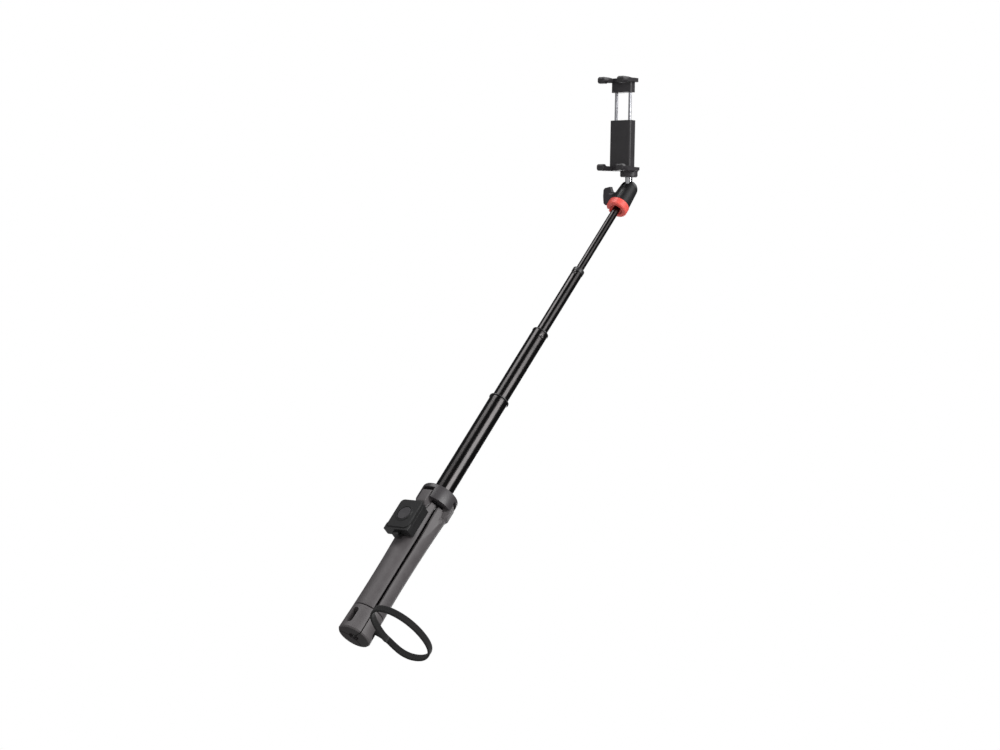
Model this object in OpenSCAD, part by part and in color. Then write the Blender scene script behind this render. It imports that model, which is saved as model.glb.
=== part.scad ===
// Telescopic hand-held phone stick whose grip is three closed tripod legs.
// Millimetres. +Z runs up the pole, the origin is the centre of the closed feet,
// and the phone's screen looks towards -Y.

/* [Grip] */
// Height of the grip, from the soles to the top of the collar
grip_h = 154; // [140:1:170]
// Radius of the closed feet
foot_r = 15; // [14.5:0.1:16]
// Radius of the grip at its waist
waist_r = 14; // [13.5:0.1:14.5]
// Height of the feet
foot_h = 24; // [22:1:28]
// Radius of the collar
collar_r = 17; // [16.2:0.1:18]
// Height of the collar
collar_h = 14; // [13:0.5:16]
// Gap between neighbouring legs
leg_gap = 1.8; // [1:0.1:2.4]

/* [Pole] */
// Outer diameters of the four sections, widest first
tube_od = [17.2, 15, 10.5, 7.1];
// Visible length of each extended section
tube_show = [110, 81.5, 78.5, 79];
// Wall thickness of the sections
tube_wall = 0.6; // [0.5:0.1:0.8]
// Length of each section that stays inside the next one
tube_overlap = 34; // [24:1:38]

/* [Ball head] */
// Radius of the base ring
ring_r = 10.1; // [9.4:0.1:11]
// Height of the base ring
ring_h = 7.4; // [7:0.1:9]
// Height of the ball's centre above the ring's underside
ball_up = 27.3; // [26.5:0.1:29]
// Radius of the ball
ball_r = 6.5; // [6.3:0.1:6.5]
// Forward lean of the stem
lean = 43; // [20:1:70]

/* [Phone clamp] */
// Width of the phone that the jaws hold
jaw_gap = 78; // [70:1:84]
// Distance between the two fingers of a jaw
finger_pitch = 22.6; // [21:0.2:26]
// Distance from the stem's axis forward to the phone's screen
reach = 25; // [24:0.5:28]

/* [Remote] */
// Width of the remote
remote_w = 25; // [22:1:26]
// Height of the remote
remote_h = 30; // [29:1:33]
// Thickness of the remote
remote_t = 7.5; // [7:0.5:9]

/* [Wrist strap] */
// Width of the strap's webbing
strap_w = 6; // [5:0.5:6.5]
// Thickness of the strap's webbing
strap_t = 2.2; // [1.8:0.1:2.3]

/* [Hidden] */
$fn = 64;
eps = 0.01;
run = 0.05;             // running clearance of a shaft, on the radius
fit = 0.01;             // clearance of a fixed pin or screw, on the radius
leg_angles = [-90, 30, 150];
collar_z = grip_h - collar_h;
core_r = 9.6;           // channel between the legs that the pole slides down

// hinge of a leg, in the leg's own frame, which looks along +X
hinge_x = 12.9;
hinge_z = collar_z + 3.6;
pin_r = 1.5;
barrel_r = 3.4;
knuckle_w = 10;
notch_w = 12.4;
notch_top = collar_z + 9.8;
leg_top = collar_z - 2.5;
facet_z = 91;           // lower tip of the flats beside each split
facet_slope = 0.09;

slot_w = 6.2;
slot_z = [5, 20.5];
strap_pin_x = 10.9;
strap_pin_z = [slot_z[0] - 1.5, slot_z[1] + 1.5];
sole_hole_r = 4.6;
foot_gap = 0.9;         // between neighbouring feet, and between a foot and its leg

function tube_top(k) = grip_h + tube_show[0] + (k > 0 ? tube_show[1] : 0)
    + (k > 1 ? tube_show[2] : 0) + (k > 2 ? tube_show[3] : 0);
function tube_r(k) = tube_od[k] / 2;
function bore_r(k) = tube_r(k) - tube_wall;
function tube_base(k) = k == 0 ? grip_h - 20 : tube_top(k - 1) - tube_overlap;
lip_h = [1.2, 1.2, 4.2];
stop_h = 4.6;
press_mark = [11, -22, -75]; // which way each section's press mark faces

ring_z = tube_top(3);
stud_r = 3.2;
plate_z = ring_z + ring_h;          // underside of the housing
chamber_z = plate_z + 2.7;
ball_z = ring_z + ball_up;
dome_r = 8.4;
stem_r = 3.4;
mouth_r = stem_r + 0.6;
knob_z = ring_z + 18.4;
cup_z = [chamber_z + 2.6, ball_z - 3.8];
screw_r = 2;
screw_x = [0.6, 2.3, 16.2];         // tip of the cone, its root and the screw's head end
knob_hub_x = [11.6, 16.6];
knob_turn = 44;

// the clamp is drawn in the stem's frame: origin at the ball, +Z along the stem
disc_r = 8.2;
disc_z = [11.5, 17];
seat_z = 21;
pad_t = 0.6;
screen_y = -reach;
phone_t = 7.4;
back_y = screen_y + phone_t;        // back of the phone
tip_y = screen_y - 5.2;             // front of the fingers
rail_y = back_y + 6.6;
rail_x = 8;
rail_r = 1.5;
rail_z = 39;                        // lower end of the rails
body_y = [back_y + 2.2, back_y + 11.4];
body_z = [seat_z - pad_t, 64];
jaw_z = seat_z + jaw_gap;           // underside of the upper jaw's pads
finger_w = 8.6;
neck_w = 6;

dock_y = -foot_r - 1.9;             // outer face of the remote's dock
remote_y = [dock_y - 0.3 - remote_t, dock_y - 0.3];
remote_z = 98;
button_r = 6.5;
button_z = remote_z + remote_h / 2;

// the strap's route, from the pin in the slot of foot 2 and back to it
STRAP = [
    [11.9, 5.6, 12.6], [15.5, 7.7, 12.4], [19.6, 9.4, 11.6], [24, 9.6, 9.6], [28.2, 7.6, 7],
    [31.4, 3.6, 4.8], [33.4, -2, 3.6], [34.6, -9, 3.2], [35.8, -17, 3.2], [38, -25, 3.2],
    [41.6, -32.6, 3.2], [47, -38.8, 3.2], [54, -42.6, 3.2], [62, -43, 3.2], [69.6, -40, 3.2],
    [76, -34, 3.2], [80.4, -26, 3.2], [82.6, -17, 3.2], [82.8, -7, 3.2], [80.8, 2.4, 3.2],
    [76.4, 10.6, 3.2], [70, 17, 3.2], [62, 21.4, 3.2], [53, 23.4, 3.4], [44.4, 23.2, 4],
    [36.6, 21.2, 5.4], [29.8, 18, 7.6], [24, 14.6, 10], [19, 11.6, 11.8], [14.4, 9, 12.6],
    [11.1, 7.1, 12.8]];

// ---- shared shapes ----

// an upright tube between two heights
module pipe(r, hole, z0, z1) {
    translate([0, 0, z0]) difference() {
        cylinder(r = r, h = z1 - z0);
        translate([0, 0, -1]) cylinder(r = hole, h = z1 - z0 + 2);
    }
}

// a block with round vertical corners, centred on X, from y0 to y1 and z0 to z1
module rounded_slab(w, y0, y1, z0, z1, r) {
    translate([0, (y0 + y1) / 2, z0]) linear_extrude(z1 - z0)
        rounded_rect(w, y1 - y0, r);
}

module rounded_rect(w, d, r) {
    square([w - 2 * r, d], center = true);
    square([w, d - 2 * r], center = true);
    for (x = [-1, 1], y = [-1, 1]) translate([x * (w / 2 - r), y * (d / 2 - r)]) circle(r);
}

// places a leg's part, drawn looking along +X, at leg k
module at_leg(k) rotate([0, 0, leg_angles[k]]) children();

// places a clamp part, drawn in the stem's frame
module at_stem() translate([0, 0, ball_z]) rotate([lean, 0, 0]) children();

// the third of the grip that one leg fills, with half the gap taken off each side
module leg_sector(gap, z0, z1) {
    far = 40;
    inset = gap / 2 / sin(60);
    translate([0, 0, z0]) linear_extrude(z1 - z0)
        polygon([[inset, 0], [inset + far, far * tan(60)], [inset + far, -far * tan(60)]]);
}

// ---- grip ----

// the grip's outline: waisted, wider at the feet and at the collar
function grip_r(z) = waist_r + (foot_r - waist_r) * pow((z - 55) / 55, 2);

module grip_solid(z0, z1, inner) {
    steps = 8;
    rotate_extrude() polygon(concat(
        [for (i = [0:steps]) let (z = z0 + (z1 - z0) * i / steps) [grip_r(z), z]],
        [[inner, z1], [inner, z0]]));
}

// the barrel of the hinge, flush with the collar outside and round inside
module knuckle() {
    face_x = collar_r - 0.15;
    low = collar_z - 8.5;
    rotate([90, 0, 0]) translate([0, 0, -knuckle_w / 2]) linear_extrude(knuckle_w) union() {
        translate([hinge_x, hinge_z]) circle(barrel_r);
        polygon([[hinge_x - barrel_r, hinge_z], [hinge_x - barrel_r, low], [face_x - 1.6, low],
            [face_x, low + 2.6], [face_x, hinge_z + barrel_r - 1], [face_x - 1, hinge_z + barrel_r],
            [hinge_x, hinge_z + barrel_r]]);
    }
}

module leg(k) {
    color("#5f5b5c") at_leg(k) difference() {
        union() {
            intersection() {
                grip_solid(foot_h + foot_gap, leg_top, core_r);
                leg_sector(leg_gap, foot_h, grip_h);
                leg_flats();
            }
            knuckle();
        }
        translate([hinge_x, 20, hinge_z]) rotate([90, 0, 0]) cylinder(r = pin_r + run, h = 40);
    }
}

// the two flats that slope in towards the splits above facet_z
module leg_flats() {
    tilt = atan(facet_slope);
    intersection_for (side = [-1, 1])
        rotate([0, 0, side * 60]) translate([foot_r + 0.6, 0, facet_z]) rotate([0, -tilt, 0])
            translate([-80, -60, -120]) cube([80, 120, 240]);
}

module foot(k) {
    color("#676364") at_leg(k) difference() {
        intersection() {
            union() {
                grip_solid(1.2, foot_h, core_r);
                cylinder(r1 = foot_r - 0.9, r2 = grip_r(1.2), h = 1.2 + eps);
                translate([0, 0, 1.2]) cylinder(r = 12, h = 3);
            }
            leg_sector(foot_gap, 0, foot_h);
        }
        translate([0, 0, -1]) cylinder(r = sole_hole_r, h = 8);
        foot_slot();
        if (k == 1) translate([strap_pin_x, 0, strap_pin_z[0]])
            cylinder(r = 1, h = strap_pin_z[1] - strap_pin_z[0]);
        // the heel groove that a fingernail opens the leg with
        translate([foot_r + 1.2, 0, 0]) sphere(r = 2.2);
    }
    // spigot that joins the foot to its leg
    color("#676364") at_leg(k) intersection() {
        pipe(12.4, core_r + 0.6, foot_h - 1, foot_h + foot_gap);
        leg_sector(leg_gap + 4, 0, grip_h);
    }
}

// long hole through the foot, round at both ends
module foot_slot() {
    w = slot_w / 2;
    translate([7, 0, 0]) rotate([90, 0, 90]) linear_extrude(20) {
        translate([-w, slot_z[0] + w]) square([slot_w, slot_z[1] - slot_z[0] - slot_w]);
        for (z = [slot_z[0] + w, slot_z[1] - w]) translate([0, z]) circle(w);
    }
}

module collar() {
    color("#4a4648") difference() {
        rotate_extrude() polygon([[9.4, collar_z], [collar_r, collar_z],
            [collar_r, grip_h - 1.2], [collar_r - 0.4, grip_h - 0.35], [collar_r - 1.3, grip_h],
            [10.3, grip_h], [9.4, grip_h - 1.1]]);
        for (k = [0:2]) at_leg(k) {
            translate([8, -notch_w / 2, collar_z - 1]) cube([20, notch_w, notch_top - collar_z + 1]);
            translate([hinge_x, 9.2, hinge_z]) rotate([90, 0, 0]) cylinder(r = pin_r, h = 18.4);
        }
    }
}

// the fixed sleeve that guides the lowest section through the collar
module hub_sleeve() {
    color("#2b2a2b") {
        pipe(9.3, tube_r(0) + run, collar_z - 1, grip_h - 1.4);
        for (a = [-30, 90, 210]) rotate([0, 0, a]) intersection() {
            pipe(12.5, 8.9, collar_z - 1, collar_z);
            translate([8, -2.5, 0]) cube([6, 5, 200]);
        }
    }
}

module hinge_pin(k) {
    color("silver") at_leg(k) translate([hinge_x, 9, hinge_z]) rotate([90, 0, 0])
        cylinder(r = pin_r - fit, h = 18);
}

// ---- wrist strap ----

module strap_pin() {
    color("silver") at_leg(1) translate([strap_pin_x, 0, strap_pin_z[0]])
        cylinder(r = 1 - fit, h = strap_pin_z[1] - strap_pin_z[0]);
}

// a band swept along points, standing on its edge: 8 corners to a ring
function ring_at(p, i) =
    let (n = len(p), t = p[min(i + 1, n - 1)] - p[max(i - 1, 0)],
        side = [-t[1], t[0], 0] / norm([t[0], t[1]]), w = strap_w / 2, h = strap_t / 2, c = 0.55)
    [for (q = [[h, c - w], [h, w - c], [h - c, w], [c - h, w],
            [-h, w - c], [-h, c - w], [c - h, -w], [h - c, -w]])
        p[i] + side * q[0] + [0, 0, q[1]]];

module wrist_strap() {
    n = len(STRAP);
    sides = 8;
    color("#1f1c1c") polyhedron(
        points = [for (i = [0:n - 1]) each ring_at(STRAP, i)],
        faces = concat(
            [[for (j = [0:sides - 1]) j]],
            [for (i = [0:n - 2], j = [0:sides - 1])
                let (a = i * sides + j, b = i * sides + (j + 1) % sides)
                each [[a, a + sides, b + sides], [a, b + sides, b]]],
            [[for (j = [sides - 1:-1:0]) (n - 1) * sides + j]]),
        convexity = 6);
}

// ---- remote ----

module remote_dock() {
    top = remote_z + remote_h - 2;
    cup_y = remote_y[0] + 0.6;
    color("#262426") {
        difference() {
            union() {
                // plate whose back follows the leg's round face
                difference() {
                    rounded_slab(remote_w - 3, dock_y, -foot_r + 4, remote_z, top, 0.9);
                    cylinder(r = foot_r + 1.05, h = 300);
                }
                // cup around the remote's lower end
                rounded_slab(remote_w + 2.6, cup_y, dock_y + 0.9, remote_z - 1.9, remote_z + 4.2, 0.8);
                // thumb tab under the cup
                rounded_slab(7, cup_y + 2.2, dock_y + 0.6, remote_z - 5.4, remote_z, 0.8);
            }
            remote_shape(cup_y - 5, dock_y, 0.3);
            // window under the tab's bridge
            translate([-10, cup_y + 3.6, remote_z - 3.6]) cube([20, 1.6, 1.7]);
            // lightening windows behind the remote
            for (z = [remote_z + 8, remote_z + 18.4]) translate([-5, -40, z]) cube([10, 60, 6.5]);
        }
        // feet that stand the plate on the leg
        difference() {
            for (z = [remote_z + 3, remote_z + 15.2, remote_z + 25.4]) intersection() {
                pipe(foot_r + 1.1, waist_r - 1, z, z + 2.4);
                rotate([0, 0, -90]) translate([10, -5.5, 0]) cube([10, 11, 200]);
            }
            grip_solid(foot_h + foot_gap, leg_top, core_r - 1);
        }
    }
}

module remote_shape(y0, y1, grow) {
    rotate([90, 0, 0]) translate([0, remote_z + remote_h / 2, -y1]) linear_extrude(y1 - y0)
        rounded_rect(remote_w + 2 * grow, remote_h + 2 * grow, 4 + grow);
}

module remote_base() {
    color("#1b1a1b") difference() {
        remote_shape(remote_y[1] - 4, remote_y[1], 0);
        remote_shape(remote_y[1] - 5, remote_y[1] - 1.2, -1.2);
    }
}
module remote_board() {
    color("#1f5a36") remote_shape(remote_y[1] - 4.2, remote_y[1] - 3.4, -1.6);
}
module remote_battery() {
    color("silver") translate([0, remote_y[1] - 1.3, remote_z + 15]) rotate([90, 0, 0])
        cylinder(r = 8, h = 2);
}
module remote_cover() {
    color("#232223") difference() {
        union() {
            remote_shape(remote_y[0] + 0.5, remote_y[1] - 4, 0);
            remote_shape(remote_y[0], remote_y[0] + 0.5, -0.5);
            // raised ring around the button
            at_button(0) cylinder(r1 = button_r + 1.5, r2 = button_r + 1.9, h = 0.8);
        }
        remote_shape(remote_y[0] + 1.4, remote_y[1], -1.2);
        at_button(-10) cylinder(r = button_r + 0.35, h = 40);
    }
}
module remote_button() {
    color("#39373a") at_button(-0.1) {
        rotate_extrude() polygon([[0, 0.35], [2.4, 0.2], [button_r - 0.5, 0], [button_r, 0.5],
            [button_r, 2.1], [1.6, 2.1], [1.6, 3.1], [0, 3.1]]);
    }
}
// on the button's axis, +Z into the remote, from 0.6 mm in front of the cover
module at_button(z) translate([0, remote_y[0] - 0.6 + z, button_z]) rotate([-90, 0, 0]) children();

// ---- pole ----

module tube(k) {
    color("#171516") difference() {
        pipe(tube_r(k), bore_r(k), tube_base(k), tube_top(k) - (k < 3 ? lip_h[k] : -2));
        // the press mark that holds the guide below the lip
        if (k < 3) rotate([0, 0, press_mark[k]])
            translate([tube_r(k) + 0.9, 0, tube_top(k) - 7]) sphere(r = 1.3);
    }
}

// the guide in the top of section k, whose rim shows above the tube
module tube_lip(k) {
    r = tube_r(k);
    rim = [0.85, 0.35, 0.35][k];
    top = tube_top(k);
    inner = tube_r(k + 1) + run;
    color("#242223") rotate_extrude() polygon([
        [inner, top - 12], [bore_r(k), top - 12], [bore_r(k), top - lip_h[k]],
        [r + rim, top - lip_h[k]], [r + rim, top - 0.45 * lip_h[k]], [r + rim - 0.45, top],
        [inner + 0.3, top], [inner, top - 0.3]]);
}

// the sleeve on the foot of section k, which slides in the bore around it and stops at the guide
module tube_stop(k) {
    outer = k == 0 ? core_r - 0.4 : bore_r(k - 1) - run;
    z = tube_base(k);
    bevel = min(0.4, (outer - tube_r(k)) / 2);
    color("#3a3a3c") rotate_extrude() polygon([
        [tube_r(k), z], [outer - bevel, z], [outer, z + bevel], [outer, z + stop_h - bevel],
        [outer - bevel, z + stop_h], [tube_r(k), z + stop_h]]);
}

// the screw that the ball head turns on, fixed in the top of the last section
module head_stud() {
    inner = bore_r(3);
    color("silver") rotate_extrude() polygon([
        [0, ring_z - 14], [inner, ring_z - 14], [inner, ring_z + 2], [stud_r, ring_z + 2],
        [stud_r, chamber_z + 0.3], [4.6, chamber_z + 0.3], [4.6, chamber_z + 1.6],
        [4, chamber_z + 2], [0, chamber_z + 2]]);
}

// ---- ball head ----

module base_ring() {
    color("#f2665c") difference() {
        rotate_extrude() polygon([
            [stud_r + run, ring_z + 2.8], [4.6, ring_z + 2.8], [5.9, ring_z + 1.6], [5.9, ring_z + 0.5],
            [6.4, ring_z], [ring_r - 0.9, ring_z], [ring_r, ring_z + 0.9],
            [ring_r, plate_z - 0.5], [ring_r - 0.5, plate_z], [stud_r + run, plate_z]]);
        // a gap in the rim, where the ring grips the last section
        translate([-14, -1.4, ring_z - 1]) cube([8.6, 2.8, 3.2]);
    }
}

module ball_housing() {
    lower_r = ring_r - 0.5;
    color("#2b2b2b") difference() {
        union() {
            rotate_extrude() polygon(concat(
                [[0, plate_z], [lower_r - 0.5, plate_z], [lower_r, plate_z + 0.5]],
                [for (i = [0:12]) let (a = 7 * i) [dome_r * cos(a), ball_z + dome_r * sin(a)]],
                [[0, ball_z + dome_r]]));
            // boss that the lock screw goes through
            translate([0, 0, knob_z]) rotate([0, -90, 0]) cylinder(r1 = 5, r2 = 3.9, h = 11.2);
        }
        translate([0, 0, chamber_z]) cylinder(r = ball_r + 0.1, h = ball_z - chamber_z);
        translate([0, 0, ball_z]) sphere(r = ball_r + 0.1);
        translate([0, 0, plate_z - 1]) cylinder(r = stud_r + run, h = 5);
        translate([0, 0, ball_z]) {
            cylinder(r = mouth_r, h = 20);
            rotate([90, 0, 0]) cylinder(r = mouth_r, h = 20);
            translate([-mouth_r, -20, 0]) cube([2 * mouth_r, 20, 20]);
        }
        translate([0, 0, knob_z]) rotate([0, -90, 0]) cylinder(r = screw_r + run, h = 20);
    }
}

// the cup under the ball, which the lock screw's cone lifts
module brake_cup() {
    color("#4b4a4c") difference() {
        translate([0, 0, cup_z[0]]) cylinder(r = ball_r, h = cup_z[1] - cup_z[0]);
        translate([0, 0, ball_z]) sphere(r = ball_r + 0.1);
        translate([0, 0, knob_z]) rotate([0, -90, 0]) cylinder(r = screw_r + 0.8, h = 20);
        translate([0, 0, knob_z]) sphere(r = screw_r + 0.8);
    }
}

module lock_screw() {
    color("silver") translate([0, 0, knob_z]) rotate([0, -90, 0]) {
        translate([0, 0, screw_x[0]]) cylinder(r1 = 0.4, r2 = screw_r, h = screw_x[1] - screw_x[0]);
        translate([0, 0, screw_x[1]]) cylinder(r = screw_r, h = screw_x[2] - screw_x[1]);
    }
}

// a paddle with a waist at its hub, seen along the screw's side
module lock_knob() {
    half = 9;
    paddle_t = 4;
    color("#312d32") translate([0, 0, knob_z]) rotate([knob_turn, 0, 0]) difference() {
        union() {
            rotate([0, -90, 0]) translate([0, 0, knob_hub_x[0]])
                cylinder(r = 3.7, h = knob_hub_x[1] - knob_hub_x[0]);
            translate([0, paddle_t / 2, 0]) rotate([90, 0, 0]) linear_extrude(paddle_t)
                polygon([[-knob_hub_x[0], -3.2], [-knob_hub_x[0], 3.2], [-14, 4.2], [-15.4, 7.2],
                    [-16, half], [-22, half - 1.1], [-23.6, half - 3], [-24, 0], [-23.4, 2.6 - half],
                    [-21.6, 0.9 - half], [-17.6, -half], [-15.4, -6.8], [-14, -4.2]]);
        }
        rotate([0, -90, 0]) cylinder(r = screw_r + fit, h = screw_x[2]);
    }
}

module ball_stem() {
    color("#d9dadb") at_stem() {
        sphere(r = ball_r);
        cylinder(r = stem_r, h = disc_z[0]);
        translate([0, 0, disc_z[0] - eps]) cylinder(r = 3.15, h = 6.4);
    }
}

// ---- phone clamp, in the stem's frame ----

module stem_disc() {
    color("#3f3c3f") at_stem() difference() {
        rotate_extrude() polygon([[3.2, disc_z[0]], [disc_r - 1, disc_z[0]],
            [disc_r, disc_z[0] + 1], [disc_r, disc_z[1]], [3.2, disc_z[1]]]);
        // two spanner flats
        for (s = [-1, 1]) translate([s * (disc_r + 9.2) - 10, -10, disc_z[0] - 1]) cube([20, 20, 2.2]);
    }
}

// one finger: a six-sided tip, then a neck that narrows and thins towards its heel
module finger(x, tip_y, rear_y) {
    low = disc_z[1] - 0.6;
    top = seat_z - pad_t;
    lip = seat_z + 1.5;
    w = finger_w / 2;
    mid = (low + lip) / 2;
    translate([x, 0, 0]) intersection() {
        // seen from the side
        rotate([90, 0, 90]) translate([0, 0, -10]) linear_extrude(20)
            polygon([[tip_y, mid - 1.6], [tip_y + 1, low], [tip_y + 9, low], [rear_y, low + 1.2],
                [rear_y, top], [screen_y - 0.4, top], [screen_y - 0.4, lip - 0.6],
                [screen_y - 1, lip], [tip_y + 1, lip], [tip_y, mid + 1.6]]);
        // seen from above
        translate([0, 0, low - 1]) linear_extrude(lip - low + 2)
            polygon([for (s = [1, -1]) each s > 0
                ? [[w - 0.9, tip_y], [w, tip_y + 0.9], [w, tip_y + 6], [neck_w / 2, tip_y + 11],
                    [neck_w / 2, rear_y]]
                : [[-neck_w / 2, rear_y], [-neck_w / 2, tip_y + 11], [-w, tip_y + 6],
                    [-w, tip_y + 0.9], [-w + 0.9, tip_y]]]);
        // seen from the front
        rotate([90, 0, 0]) translate([0, 0, -rear_y - 1]) linear_extrude(rear_y - tip_y + 2)
            polygon([[-w + 1.5, low], [w - 1.5, low], [w, mid - 0.5], [w, mid + 0.9],
                [w - 1.4, lip], [-w + 1.4, lip], [-w, mid + 0.9], [-w, mid - 0.5]]);
    }
}

module lower_jaw() {
    low = disc_z[1];
    top = seat_z - pad_t;
    color("#2d2b2d") at_stem() difference() {
        union() {
            for (s = [-1, 1]) finger(s * finger_pitch / 2, tip_y, -2.5);
            translate([0, 0, low]) linear_extrude(top - low) union() {
                translate([0, -8.6]) rounded_rect(finger_pitch + neck_w, 13.4, 3);
                circle(disc_r + 0.6);
            }
        }
        cylinder(r = 3.2, h = 30);
    }
}

// the soft pad on finger k, from z upwards
module pad(k, z) {
    color("#161616") at_stem() translate([[-1, 1][k] * finger_pitch / 2 - 2.6, screen_y - 0.3, z])
        cube([5.2, phone_t + 2.2, pad_t]);
}

module clamp_body() {
    w = 2 * rail_x + 8;
    color("#2a282a") at_stem() difference() {
        union() {
            rounded_slab(w, body_y[0], body_y[1], body_z[0], body_z[1], 2);
            // web down to the lower jaw
            translate([-7, body_y[1] - 2, body_z[0]]) cube([14, 5, 8]);
        }
        for (s = [-1, 1]) translate([s * rail_x, rail_y, disc_z[1]])
            cylinder(r = rail_r + run, h = 60);
        translate([-5.4, body_y[0] + 1.4, seat_z + 4]) cube([10.8, 20, body_z[1]]);
    }
}
module clamp_cover() {
    color("#343135") at_stem() difference() {
        translate([-5.3, body_y[1] - 1.6, seat_z + 9]) cube([10.6, 1.6, body_z[1] - seat_z - 9]);
        for (z = [30:6:54]) translate([-3.4, body_y[1] - 0.6, seat_z + z - 12]) cube([6.8, 1, 1.6]);
    }
}
// rolled strip spring that draws the upper jaw down
module clamp_spring() {
    color("#9aa0a6") at_stem() translate([-4.5, body_y[0] + 4.6, body_z[1] - 5]) rotate([0, 90, 0])
        difference() {
            cylinder(r = 3, h = 9);
            translate([0, 0, -1]) cylinder(r = 1.4, h = 11);
        }
}

module upper_jaw() {
    top = jaw_z + 4.2;
    color("#2d2b2d") at_stem() difference() {
        union() {
            translate([0, 0, jaw_z + seat_z]) mirror([0, 0, 1])
                for (s = [-1, 1]) finger(s * finger_pitch / 2, tip_y - 1.2, back_y + 7);
            translate([0, 0, jaw_z + pad_t]) linear_extrude(top - jaw_z - pad_t)
                translate([0, back_y + 7]) rounded_rect(finger_pitch + neck_w, 11, 3);
            rounded_slab(2 * rail_x + 7, back_y + 2.4, back_y + 10.4, jaw_z - 9, jaw_z + 2, 2);
        }
        for (s = [-1, 1]) translate([s * rail_x, rail_y, 0]) cylinder(r = rail_r, h = jaw_z - 1);
    }
}
module jaw_rail(k) {
    color("silver") at_stem() translate([[-1, 1][k] * rail_x, rail_y, rail_z])
        cylinder(r = rail_r - fit, h = jaw_z - 1 - rail_z);
}

collar();
hub_sleeve();
hinge_pin(0);  // hinge_pin_1
hinge_pin(1);  // hinge_pin_2
hinge_pin(2);  // hinge_pin_3
leg(0);  // leg_1
leg(1);  // leg_2
leg(2);  // leg_3
foot(0);  // foot_1
foot(1);  // foot_2
foot(2);  // foot_3
strap_pin();
wrist_strap();
remote_dock();
remote_base();
remote_board();
remote_battery();
remote_cover();
remote_button();
tube(0);  // tube_1
tube_lip(0);  // tube_1_lip
tube_stop(0);  // tube_1_stop
tube(1);  // tube_2
tube_lip(1);  // tube_2_lip
tube_stop(1);  // tube_2_stop
tube(2);  // tube_3
tube_lip(2);  // tube_3_lip
tube_stop(2);  // tube_3_stop
tube(3);  // tube_4
tube_stop(3);  // tube_4_stop
head_stud();
base_ring();
ball_housing();
brake_cup();
lock_screw();
lock_knob();
ball_stem();
stem_disc();
lower_jaw();
pad(0, seat_z - pad_t);  // lower_pad_1
pad(1, seat_z - pad_t);  // lower_pad_2
clamp_body();
clamp_cover();
clamp_spring();
upper_jaw();
pad(0, jaw_z);  // upper_pad_1
pad(1, jaw_z);  // upper_pad_2
jaw_rail(0);  // jaw_rail_1
jaw_rail(1);  // jaw_rail_2
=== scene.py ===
# %% [markdown]
# # A telescopic phone stick with folding legs
#
# The stick is a pole of four black tubes. Its grip opens into three tripod legs, and a small
# ball head at the top leans a sprung phone clamp forward. Every part that moves or fits is
# already drawn in CAD and arrives as a fixed frame, so this notebook only makes what the eye
# judges: the smooth legs and tubes, rounded edges, webbing, and a finish for each material.
# All lengths are in metres.

# %%
import math

import bmesh
import bpy
import numpy as np
from mathutils import Matrix, Vector


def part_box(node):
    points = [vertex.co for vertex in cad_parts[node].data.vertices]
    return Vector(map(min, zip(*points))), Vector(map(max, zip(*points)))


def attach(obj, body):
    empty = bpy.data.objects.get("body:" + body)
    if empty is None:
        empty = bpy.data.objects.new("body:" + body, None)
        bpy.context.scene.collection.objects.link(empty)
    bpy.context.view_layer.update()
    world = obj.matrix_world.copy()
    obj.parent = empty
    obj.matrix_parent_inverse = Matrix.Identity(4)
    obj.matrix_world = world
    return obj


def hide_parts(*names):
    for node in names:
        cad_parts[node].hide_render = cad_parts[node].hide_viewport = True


MM = 0.001
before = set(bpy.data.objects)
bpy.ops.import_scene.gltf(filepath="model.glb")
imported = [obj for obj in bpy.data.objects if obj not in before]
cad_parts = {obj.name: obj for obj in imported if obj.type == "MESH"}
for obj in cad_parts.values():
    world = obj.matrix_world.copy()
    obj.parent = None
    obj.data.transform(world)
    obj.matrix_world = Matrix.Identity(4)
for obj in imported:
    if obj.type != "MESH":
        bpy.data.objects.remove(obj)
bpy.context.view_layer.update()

# %% [markdown]
# ## Places that the frame gives
#
# Sizes could be typed in, but then a change in the CAD model would leave the looks behind. The
# heights of the collar and the tubes are read from the boxes of their nodes.

# %%
def low(node):
    """The lowest corner of a CAD node's box."""
    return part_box(node)[0]


def high(node):
    """The highest corner of a CAD node's box."""
    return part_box(node)[1]


grip_top = high("collar").z
print(f"grip {grip_top / MM:.0f} mm, whole stick {high('upper_jaw').z / MM:.0f} mm")

# %% [markdown]
# ## The camera
#
# The stick is seen from below and from the clamp's left, leaning up to the right, as it looks
# to somebody who stands in front of it. A long lens keeps the pole's taper gentle. The camera
# could follow a target with a constraint, but two directions and a place say the same and
# leave nothing live in the file.

# %%
CAMERA_AT = (1.3495, -1.2156, -0.7500)
CAMERA_RIGHT = Vector((0.7601, 0.4620, 0.4570))
CAMERA_BACK = Vector((0.6489, -0.5774, -0.4955)).normalized()
LENS_MM = 84.6

camera_up = CAMERA_BACK.cross(CAMERA_RIGHT).normalized()
camera = bpy.data.objects.new("camera", bpy.data.cameras.new("camera"))
camera.data.lens = LENS_MM
turn = Matrix((camera_up.cross(CAMERA_BACK), camera_up, CAMERA_BACK)).transposed()
camera.matrix_world = Matrix.Translation(CAMERA_AT) @ turn.to_4x4()
bpy.context.scene.collection.objects.link(camera)
bpy.context.scene.camera = camera

# %% [markdown]
# ## Surfaces from arrays
#
# Blender can add cylinders and bend them, but a surface written as a function of two
# parameters keeps every size in sight. Each one below is a grid of points, row after row:
# round pieces turn a profile about an axis, and the strap carries a section along a path.

# %%
def to_object(name, mesh):
    """A new object for a mesh, smooth shaded, at the origin."""
    mesh.polygons.foreach_set("use_smooth", [True] * len(mesh.polygons))
    piece = bpy.data.objects.new(name, mesh)
    bpy.context.scene.collection.objects.link(piece)
    return piece


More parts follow.
